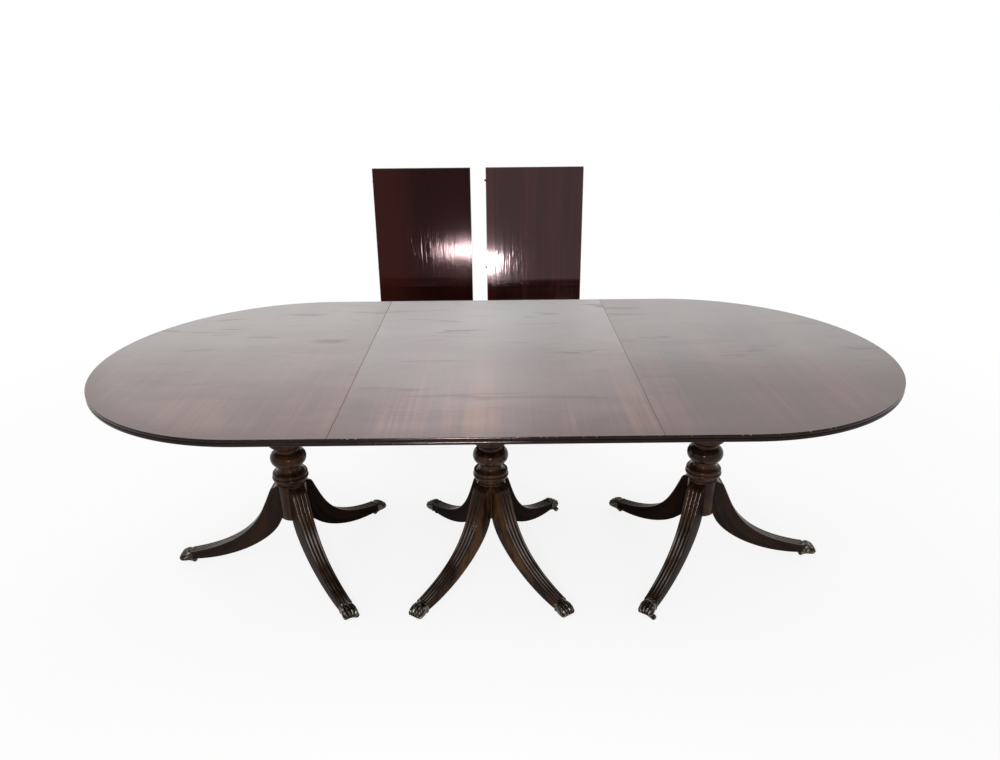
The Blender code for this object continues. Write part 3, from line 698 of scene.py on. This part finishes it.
def swell(start, end, out, steps=14):  # a rounded member between two (radius, height) points
    points = []
    for k in range(1, steps):
        share = k / steps
        radius = start[0] + (end[0] - start[0]) * share + out * math.sin(math.pi * share)
        points.append((radius, (start[1] + end[1]) / 2 + (start[1] - end[1]) / 2 * math.cos(math.pi * share)))
    return [*points, end]


def hollow(start, end, steps=10):  # a cove, upright at its narrow end
    wide, tall = start[0] - end[0], start[1] - end[1]
    points = []
    for k in range(1, steps + 1):
        turn = math.pi / 2 * k / steps
        if wide > 0:
            points.append((end[0] + wide * (1 - math.sin(turn)), end[1] + tall * math.cos(turn)))
        else:
            points.append((end[0] + wide * math.cos(turn), start[1] - tall * math.sin(turn)))
    return points


def columnLine(top):
    c = column
    collarLow = top - c["collarHeight"]
    coveEnd = collarLow - c["collarCove"]
    grooveTop = c["hubTop"] + c["grooveHeight"]
    beadTop = grooveTop + c["beadHeight"]
    ringTop = beadTop + c["ringHeight"]
    waistLow = ringTop + c["waistCove"]
    waistTop = waistLow + c["waistHeight"]
    ballTop = waistTop + c["ballHeight"]
    neckTop = ballTop + c["neckHeight"]
    barrelFoot = neckTop + c["footCove"]
    ballSwell = c["ballRadius"] - (c["neckRadius"] + c["waistRadius"]) / 2
    quirkTop = ringTop - c["quirkAt"] * c["ringHeight"]
    inner = c["ringRadius"] - 2 * c["quirk"]
    groove = c["hubRadius"] - c["grooveDepth"]
    lip = (c["ringRadius"] + c["hubRadius"]) / 2
    line = [(0, top), (c["collarRadius"] - c["fillet"], top), (c["collarRadius"], top - c["fillet"])]
    line += [(c["collarRadius"], collarLow + c["fillet"]), (c["collarRadius"] - c["fillet"], collarLow)]
    line += hollow(line[-1], (c["barrelTop"], coveEnd))
    line += swell(line[-1], (c["barrelTop"], coveEnd - c["astragalHeight"]), c["astragalSwell"])
    line += [(c["barrelFoot"], barrelFoot + c["fillet"]), (c["barrelFoot"] - c["fillet"], barrelFoot)]
    line += hollow(line[-1], (c["neckRadius"], neckTop))
    line += [(c["neckRadius"], ballTop)]
    line += swell(line[-1], (c["waistRadius"], waistTop), ballSwell, steps=24)
    line += [(c["waistRadius"], waistLow)]
    line += hollow(line[-1], (lip, ringTop))
    line += [(lip, ringTop - c["line"])]
    line += swell(line[-1], (inner, quirkTop), c["quirk"] + (inner - lip) / 2, steps=10)
    line += [(inner, quirkTop - 0.5 * c["quirk"])]
    line += swell(line[-1], (c["hubRadius"], beadTop), c["ringRadius"] - (inner + c["hubRadius"]) / 2)
    line += [(c["hubRadius"], beadTop - c["line"])]
    line += swell(line[-1], (groove, grooveTop), c["beadSwell"], steps=8)
    line += [(groove, c["hubTop"]), (c["hubRadius"] - c["line"], c["hubTop"])]
    line += [(c["hubRadius"], c["hubTop"] - c["line"])]
    for k in range(c["roundingSteps"] + 1):
        turn = math.pi / 2 * k / c["roundingSteps"]
        out = c["hubRadius"] - c["hubRounding"] * (1 - math.cos(turn))
        line.append((out, c["hubBottom"] + c["hubRounding"] * (1 - math.sin(turn))))
    return [*line, (0, c["hubBottom"])]


bm = bmesh.new()
spun(bm, columnLine(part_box("centre_top_block")[0].z - seatGap), column["steps"])
turning = meshOf(bm, "column")
columnAt = {}
for side, body in bodies.items():
    low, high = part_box(f"{side}_top_block")
    columnAt[side] = Matrix.Translation(((low.x + high.x) / 2, (low.y + high.y) / 2, 0))
    mesh = placed(turning, columnAt[side])
    fit(mesh, f"{side}_turning", columnPaints[side], body, f"{side}_column")
print("columns turned")

# reeded sabre legs
leg = {
    "reach": 0.402, "rootWidth": 0.052, "rootBack": 0.012, "ankleWidth": 0.040, "ankle": 0.355,
    "ankleTop": 0.0487, "ankleUnder": 0.0222, "intoCap": 0.006, "sideSoft": 0.0022, "softIn": 0.985,
    "softUp": 0.3, "reeds": 4, "reedDepth": 0.0042, "reedSteps": 9, "tipAt": 0.025, "tipShare": 0.75,
    "shoulderRise": 0.002, "shoulderRadius": 0.045, "shoulderInset": 0.019, "shoulderTurn": math.radians(22),
    "topLeaves": Vector((0.043, 0, -0.092)), "topArrives": Vector((-0.215, 0, 0.042)),
    "underStart": Vector((0.0386, 0, 0.182)), "underRise": 0.012,
    "underLeaves": Vector((0.015, 0, -0.072)), "underArrives": Vector((-0.158, 0, 0.003)),
    "shoulderSteps": 24, "sweepSteps": 60,
}


def sweep(start, leaves, arrives, end, share):  # a point on the curve that leaves and arrives as given
    rest = 1 - share
    early = rest**3 * start + 3 * rest**2 * share * (start + leaves)
    return early + 3 * rest * share**2 * (end + arrives) + share**3 * end


def legLines():  # (top, underside) points from inside the hub to inside the paw cap
    hub = column["hubRadius"]
    radius = leg["shoulderRadius"]
    middle = Vector((hub - leg["shoulderInset"], 0, column["hubTop"] + leg["shoulderRise"] - radius))
    rootX = hub - leg["rootBack"]
    rootTurn = math.acos((rootX - middle.x) / radius)
    underRoot = Vector((rootX, 0, leg["underStart"].z + leg["underRise"]))

    def onShoulder(turn):
        return middle + radius * Vector((math.cos(turn), 0, math.sin(turn)))

    lines = []
    for k in range(leg["shoulderSteps"]):
        share = k / leg["shoulderSteps"]
        top = onShoulder(rootTurn + (leg["shoulderTurn"] - rootTurn) * share)
        lines.append((top, underRoot.lerp(leg["underStart"], share)))
    topStart = onShoulder(leg["shoulderTurn"])
    topEnd = Vector((leg["ankle"], 0, leg["ankleTop"]))
    underEnd = Vector((leg["ankle"], 0, leg["ankleUnder"]))
    for k in range(leg["sweepSteps"] + 1):
        share = k / leg["sweepSteps"]
        top = sweep(topStart, leg["topLeaves"], leg["topArrives"], topEnd, share)
        under = sweep(leg["underStart"], leg["underLeaves"], leg["underArrives"], underEnd, share)
        lines.append((top, under))
    into = Vector((leg["intoCap"], 0, 0))
    return [*lines, (topEnd + into, underEnd + into)]


def legMesh():
    bm = bmesh.new()
    space = bm.verts.layers.float_vector.new("legSpace")
    raised = bm.verts.layers.float.new("crest")
    lines = legLines()
    across = leg["reeds"] * leg["reedSteps"]
    soft = leg["sideSoft"]
    travelled = -leg["rootBack"]
    rings, spaces, crests = [], [], []
    for k, (top, under) in enumerate(lines):
        travelled += (top - lines[k - 1][0]).length if k else 0
        out = max(0.0, (top.x - column["hubRadius"]) / (leg["ankle"] - column["hubRadius"]))
        width = leg["ankleWidth"] + (leg["rootWidth"] - leg["ankleWidth"]) * (1 - out) ** 2
        depth = leg["reedDepth"] * width / leg["rootWidth"]
        down = (under - top).normalized()
        tipLength = width / leg["reeds"] * leg["tipShare"]
        ahead = min(1.0, max(0.0, (travelled - leg["tipAt"] + tipLength) / tipLength))
        tip = math.sqrt(1 - (1 - ahead) ** 2)  # rounded upper ends of the reeds
        ring = []
        for j in range(across + 1):
            inReed = 2 * (j % leg["reedSteps"]) / leg["reedSteps"] - 1
            crest = math.sqrt(max(0.0, 1 - inReed**2)) * tip
            ring.append(top + down * depth * (1 - crest) + Vector((0, width * (j / across - 0.5), 0)))
            crests.append(crest)
        for side in (1, -1):
            edge = Vector((0, side * width / 2, 0))
            arris = [under + edge - down * soft, under + edge * leg["softIn"] - down * soft * leg["softUp"]]
            arris.append(under + edge - Vector((0, side * soft, 0)))
            flank = (top + under) / 2 + edge
            ring += [flank, *arris] if side == 1 else [*reversed(arris), flank]
        crests += [-1.0] * (len(ring) - across - 1)  # not on the reeded face
        rings.append(ring)
        spaces += [Vector((travelled, point.y, (point - top).length)) for point in ring]
    drawnThrough(bm, rings)
    bm.verts.ensure_lookup_table()
    for vert, place, crest in zip(bm.verts, spaces, crests):
        vert[space] = place
        vert[raised] = crest
    for face in bm.faces:
        face.material_index = 0 if all(vert[raised] >= 0 for vert in face.verts) else 1
    return meshOf(bm, "leg")


# cast paw caps
cap = {
    "floor": 0.0172, "toes": 4, "toeSteps": 10, "toeDepth": 0.0034, "toesFrom": 0.5, "spread": 0.0235,
    "fall": 0.019, "crown": 0.3, "knuckle": 0.0017, "grooveDark": 1.3, "endInset": 0.0016, "endDepth": 0.0006,
    "steps": 44, "extraSteps": (0.106, 0.119, 0.132, 0.97, 0.99),
    "knuckles": ((0.50, 0.10, 1.0), (0.83, 0.09, 0.8)),  # share of the length, spread, height
    # width, height, darkness, which grows towards the sole
    "flank": ((1.02, 0.45, 0.09), (1.0, 0.2, 0.18), (0.95, 0.0, 0.42), (0.5, 0.0, 0.6)),
    # share of the length: width, fall of the top, groove depth, lift of the sole
    "stations": (
        (0.0, 0.902, -0.063, 0.0, 0.0), (0.106, 0.902, -0.063, 0.0, 0.0), (0.132, 0.851, 0.0, 0.0, 0.0),
        (0.24, 0.87, 0.0, 0.10, 0.0), (0.36, 0.93, -0.04, 0.40, 0.0), (0.60, 1.0, 0.14, 0.75, 0.0),
        (0.80, 1.0, 0.42, 1.0, 0.0), (0.94, 0.9, 0.72, 1.0, 0.4), (1.0, 0.74, 1.0, 0.9, 1.3),
    ),
}
claw = {
    "radius": 0.0021, "length": 0.0085, "shape": ((1, 0), (0.9, 0.35), (0.55, 0.75)), "tip": 0.0004,
    "steps": 14, "fan": 0.35, "droop": math.radians(128), "back": 0.0042, "apart": 0.78, "up": 0.0098,
}


def capAt(share):  # between two stations, in straight lines
    stations = cap["stations"]
    for low, high in zip(stations, stations[1:]):
        if share <= high[0]:
            between = (share - low[0]) / (high[0] - low[0])
            return [a + (b - a) * between for a, b in zip(low[1:], high[1:])]
    return stations[-1][1:]


def clawRow():
    bm = bmesh.new()
    profile = [(claw["radius"] * wide, claw["length"] * high) for wide, high in claw["shape"]]
    spun(bm, [(0, 0), *profile, (claw["tip"], claw["length"]), (0, claw["length"])], claw["steps"])
    places = []
    for toe in range(cap["toes"]):
        side = (2 * toe + 1) / cap["toes"] - 1
        spot = (leg["reach"] - claw["back"], cap["spread"] * claw["apart"] * side, cap["floor"] + claw["up"])
        fan = Matrix.Rotation(claw["fan"] * side, 4, "Z") @ Matrix.Rotation(claw["droop"], 4, "Y")
        places.append(Matrix.Translation(spot) @ fan)
    return gathered(meshOf(bm, "claw"), places)


def capMesh():
    bm = bmesh.new()
    deepLayer = bm.verts.layers.float.new("hollow")
    start = leg["ankle"] + seatGap
    length = leg["reach"] - start
    across = cap["toes"] * cap["toeSteps"]
    rings, deeps = [], []
    for share in sorted([k / cap["steps"] for k in range(cap["steps"] + 1)] + [*cap["extraSteps"]]):
        wide, fall, groove, lift = capAt(share)
        x = start + length * share
        half = cap["spread"] * wide
        top = leg["ankleTop"] - cap["fall"] * fall
        low = cap["floor"] + cap["toeDepth"] * lift
        bumps = sum(high * math.exp(-(((share - at) / spread) ** 2)) for at, spread, high in cap["knuckles"])
        ring = []
        for j in range(across + 1):
            inToe = 2 * (j % cap["toeSteps"]) / cap["toeSteps"] - 1
            lobe = math.sqrt(max(0.0, 1 - inToe**2))
            side = 2 * j / across - 1
            sink = cap["toeDepth"] * groove * (1 - lobe)
            drop = (top - low) * cap["crown"] * side**4 + sink - cap["knuckle"] * bumps * lobe * groove
            ring.append(Vector((x - sink * (share > cap["toesFrom"]), half * side, top - drop)))
            deeps.append(min(1.0, groove * (1 - lobe) * cap["grooveDark"]))
        for sign in (1, -1):
            for wider, high, dark in cap["flank"][::sign]:
                ring.append(Vector((x, sign * half * wider, low + (top - low) * high)))
                deeps.append(dark)
        rings.append(ring)
    ends = drawnThrough(bm, rings)
    bm.verts.ensure_lookup_table()
    for vert, dark in zip(bm.verts, deeps):
        vert[deepLayer] = dark
    bmesh.ops.inset_region(bm, faces=ends[1:], thickness=cap["endInset"], depth=cap["endDepth"])
    joined = clawRow()
    joined.from_mesh(meshOf(bm, "cap"))
    return meshOf(joined, "paw_cap")


# castors
castor = {
    "trail": 0.022, "pivotX": 0.381, "wheelRadius": 0.0082, "wheelWidth": 0.010, "gap": 0.0003,
    "top": 0.0169, "crown": 0.0065, "crownDeep": 0.005, "crownBack": 0.7, "cheek": 0.0022, "boss": 0.0040,
    "bossTurn": (-0.62 * math.pi, 0.125 * math.pi), "bossSteps": 8,
    "yoke": ((0.0098, 0.0112), (0.0096, 0.0138)), "sharp": 0.9, "soft": 0.0005,
    "axle": 0.0016, "axleOut": 0.0006, "axleSoft": 0.0005, "axleEnd": 0.8, "axleSteps": 16,
    "hub": 0.0036, "dish": (0.0039, 0.0056), "dishDepth": 0.0007, "rim": 0.0060, "tread": 0.0066,
    "treadDrop": 0.0022, "treadSteps": 6, "wheelSteps": 40,
}
axleAt = (castor["trail"], 0, castor["wheelRadius"])


def plate(bm, outline, y, thick):  # an (x, z) outline given a thickness along Y
    face = bm.faces.new([bm.verts.new((x, y, z)) for x, z in outline])
    drawn = bmesh.ops.extrude_face_region(bm, geom=[face])
    bmesh.ops.translate(bm, verts=newVerts(drawn), vec=(0, thick, 0))


def hornMesh():  # pivot on Z, wheel trailing along +X
    bm = bmesh.new()
    inner = castor["wheelWidth"] / 2 + castor["gap"]
    front = [(-castor["crown"], castor["top"]), (-castor["crown"], castor["top"] - castor["crownDeep"])]
    back = (castor["crown"] * castor["crownBack"], castor["top"])
    first, each = castor["bossTurn"]
    boss = []
    for k in range(castor["bossSteps"] + 1):
        turn = first + each * k
        x = castor["trail"] + castor["boss"] * math.cos(turn)
        boss.append((x, castor["wheelRadius"] + castor["boss"] * math.sin(turn)))
    for y in (inner, -inner - castor["cheek"]):
        plate(bm, [*front, *boss, back], y, castor["cheek"])
    plate(bm, [*front, *castor["yoke"], back], -inner, 2 * inner)
    bmesh.ops.recalc_face_normals(bm, faces=bm.faces)
    softened(bm, [e for e in bm.edges if e.calc_face_angle(0) > castor["sharp"]], castor["soft"])
    pin = bmesh.new()
    reach = inner + castor["cheek"] + castor["axleOut"]
    half = [(0, reach), (castor["axle"] * castor["axleEnd"], reach)]
    half.append((castor["axle"], reach - castor["axleSoft"]))
    spun(pin, [(radius, -high) for radius, high in half] + half[::-1], castor["axleSteps"])
    lay = Matrix.Translation(axleAt) @ Matrix.Rotation(math.pi / 2, 4, "X")
    joined = gathered(meshOf(pin, "axle"), [lay])
    joined.from_mesh(meshOf(bm, "horn_cheeks"))
    return meshOf(joined, "castor_horn")


def wheelMesh():
    bm = bmesh.new()
    half, tread = castor["wheelWidth"] / 2, castor["tread"]
    side = [(castor["axle"] + castor["gap"], half), (castor["hub"], half)]
    side += [(radius, half - castor["dishDepth"]) for radius in castor["dish"]]
    side += [(castor["rim"], half), (tread, half)]
    for k in range(1, castor["treadSteps"] + 1):
        turn = math.pi / 2 * k / castor["treadSteps"]
        radius = tread + (castor["wheelRadius"] - tread) * math.sin(turn)
        side.append((radius, half - castor["treadDrop"] * (1 - math.cos(turn))))
    line = side + [(radius, -high) for radius, high in reversed(side)]
    spun(bm, [*line, line[0]], castor["wheelSteps"])
    bmesh.ops.rotate(bm, verts=bm.verts, cent=(0, 0, 0), matrix=Matrix.Rotation(math.pi / 2, 3, "X"))
    bmesh.ops.translate(bm, verts=bm.verts, vec=axleAt)
    return meshOf(bm, "castor_wheel")


# where each leg points, and the castors that stand turned aside, in degrees
feet = {
    "left": {"outer": 180, "front": -54.5, "back": 54.5},
    "centre": {"front_left": 234.5, "front_right": -54.5, "back_left": 125.5, "back_right": 54.5},
    "right": {"outer": 0, "front": -125.5, "back": 125.5},
}
turnedAside = {"left_front": 30, "right_front": -40, "centre_back_right": -32}


def legKind(side, where):  # which finish a leg has
    # the centre front legs get the lit finish and the back legs the shaded one: painted light and shade
    if "back" in where:
        return "farShaded"
    if where == "outer":
        return "outer"
    return "warmLit" if side == "centre" else "front"


sabre, paw, horn, wheel = legMesh(), capMesh(), hornMesh(), wheelMesh()
for side, legs in feet.items():
    for where, angle in legs.items():
        foot = f"{side}_{where}"
        body = bodies[side]
        kind = legKind(side, where)
        brassPaint = farCapPaint if kind == "farShaded" else capPaint
        out = columnAt[side] @ Matrix.Rotation(math.radians(angle), 4, "Z")
        fit(placed(sabre, out), f"{foot}_sabre", legPaints[kind], body, f"{foot}_leg")
        fit(placed(paw, out), f"{foot}_paw", brassPaint, body, f"{foot}_paw_cap", sharp=50)
        trail = math.radians(turnedAside.get(foot, angle + 180))
        pivot = Matrix.Translation(out @ Vector((castor["pivotX"], 0, 0))) @ Matrix.Rotation(trail, 4, "Z")
        mesh = placed(horn, pivot)
        fit(mesh, f"{foot}_horn", hornPaint, f"swivel_{foot}", f"{foot}_castor_horn")
        mesh = placed(wheel, pivot)
        fit(mesh, f"{foot}_wheel", wheelPaint, f"wheel_{foot}", f"{foot}_castor_wheel")
print("legs, paws and castors made")

# floor and backdrop: seen and mirrored as white, with a little of the shadows near the table
studio = {"floor": 0.93, "floorSize": 60, "ambient": 0.75, "shadows": 0.15, "fadeFrom": 1.6, "fadeTo": 3.6}
bm = bmesh.new()
bmesh.ops.create_grid(bm, x_segments=1, y_segments=1, size=studio["floorSize"])
floor = bpy.data.objects.new("floor", meshOf(bm, "floor"))
bpy.context.scene.collection.objects.link(floor)
paint = newPaint("studio_floor", {"Roughness": 0.9, "Specular IOR Level": 0.0})
where = paint.objectSpace()
pale = paint.mix(paint.noise(where, 2.0, 2.0), (studio["floor"],) * 3, (studio["floor"] + 0.01,) * 3)
paint.coat({"Base Color": pale})
toEye, mirrored = (paint.node("ShaderNodeLightPath", out=k) for k in (0, 3))
glow = paint.node("ShaderNodeEmission", sockets={"Color": (1, 1, 1, 1), "Strength": 1.0})
near = 1 - paint.step(paint.vector("LENGTH", where, out=1), studio["fadeFrom"], studio["fadeTo"])
seen = paint.calc("MAXIMUM", toEye, mirrored) * (1 - studio["shadows"] * near)
lit = Wire(paint, paint.shader.outputs[0])
surface = paint.node("ShaderNodeMixShader", sockets={0: seen, 1: lit, 2: glow})
paint.put(paint.tree.nodes["Material Output"].inputs["Surface"], surface)
floor.data.materials.append(paint.owner)

world = Paint(bpy.data.worlds.new("studio"))
bpy.context.scene.world = world.owner
toEye, mirrored, through = (world.node("ShaderNodeLightPath", out=k) for k in (0, 3, 6))
shown = world.calc("MAXIMUM", world.calc("MAXIMUM", toEye, mirrored), through)
backdrop = world.tree.nodes["Background"]
world.put(backdrop.inputs["Color"], (1, 1, 1, 1))
world.put(backdrop.inputs["Strength"], studio["ambient"] + shown * (1 - studio["ambient"]))

# name: place, aim, width, height, watts, spread in degrees
lamps = {
    "key": ((-0.7, -2.6, 2.4), (0, 0, 0.4), 1.6, 1.0, 17, 180),
    "behind": ((-1.3, 2.5, 1.9), (-0.2, -0.2, 0.74), 2.6, 1.2, 4, 180),
    "flash": ((-0.10, -2.35, 0.95), (0, 0, 0.35), 0.14, 0.14, 14, 180),
    "leaf_glint": ((-0.288, -2.35, 0.933), (-0.125, 0.76, 0.83), 0.11, 0.09, 0.17, 16),
    "edge_glint": ((-0.15, -2.35, 0.98), (-0.06, -0.595, 0.738), 0.30, 0.08, 0.15, 12),
    "over": ((-0.3, 0.8, 2.6), (-0.1, 0.3, 0.74), 1.4, 1.0, 13, 180),
}
for name, (place, aim, width, height, watts, spread) in lamps.items():
    lamp = bpy.data.lights.new(name, "AREA")
    lamp.shape = "RECTANGLE"
    lamp.size = width
    lamp.size_y = height
    lamp.energy = watts
    lamp.spread = math.radians(spread)
    stand = bpy.data.objects.new(name, lamp)
    stand.location = place
    stand.rotation_euler = (Vector(aim) - Vector(place)).to_track_quat("-Z", "Y").to_euler()
    stand.visible_camera = False
    bpy.context.scene.collection.objects.link(stand)

# camera as fitted to the photograph: angles in degrees, focal length in pixels of the frame's width
camera = {
    "place": (0.0079, -2.3525, 1.498), "pitch": 21.384, "yaw": 0.123, "roll": -0.55,
    "focal": 754.15, "frame": 1000, "sensor": 36,
}
pitch, yaw, roll = (math.radians(camera[name]) for name in ("pitch", "yaw", "roll"))
ahead = Vector((math.sin(yaw) * math.cos(pitch), math.cos(yaw) * math.cos(pitch), -math.sin(pitch)))
across = Vector((math.cos(yaw), -math.sin(yaw), 0))
over = across.cross(ahead)
right = across * math.cos(roll) + over * math.sin(roll)
up = over * math.cos(roll) - across * math.sin(roll)
lens = bpy.data.cameras.new("camera")
lens.sensor_width = camera["sensor"]
lens.lens = camera["focal"] / camera["frame"] * camera["sensor"]
eye = bpy.data.objects.new("camera", lens)
eye.matrix_world = Matrix.Translation(camera["place"]) @ Matrix((right, up, -ahead)).transposed().to_4x4()
bpy.context.scene.collection.objects.link(eye)
bpy.context.scene.camera = eye
bpy.context.scene.view_settings.view_transform = "Standard"
print("studio ready")
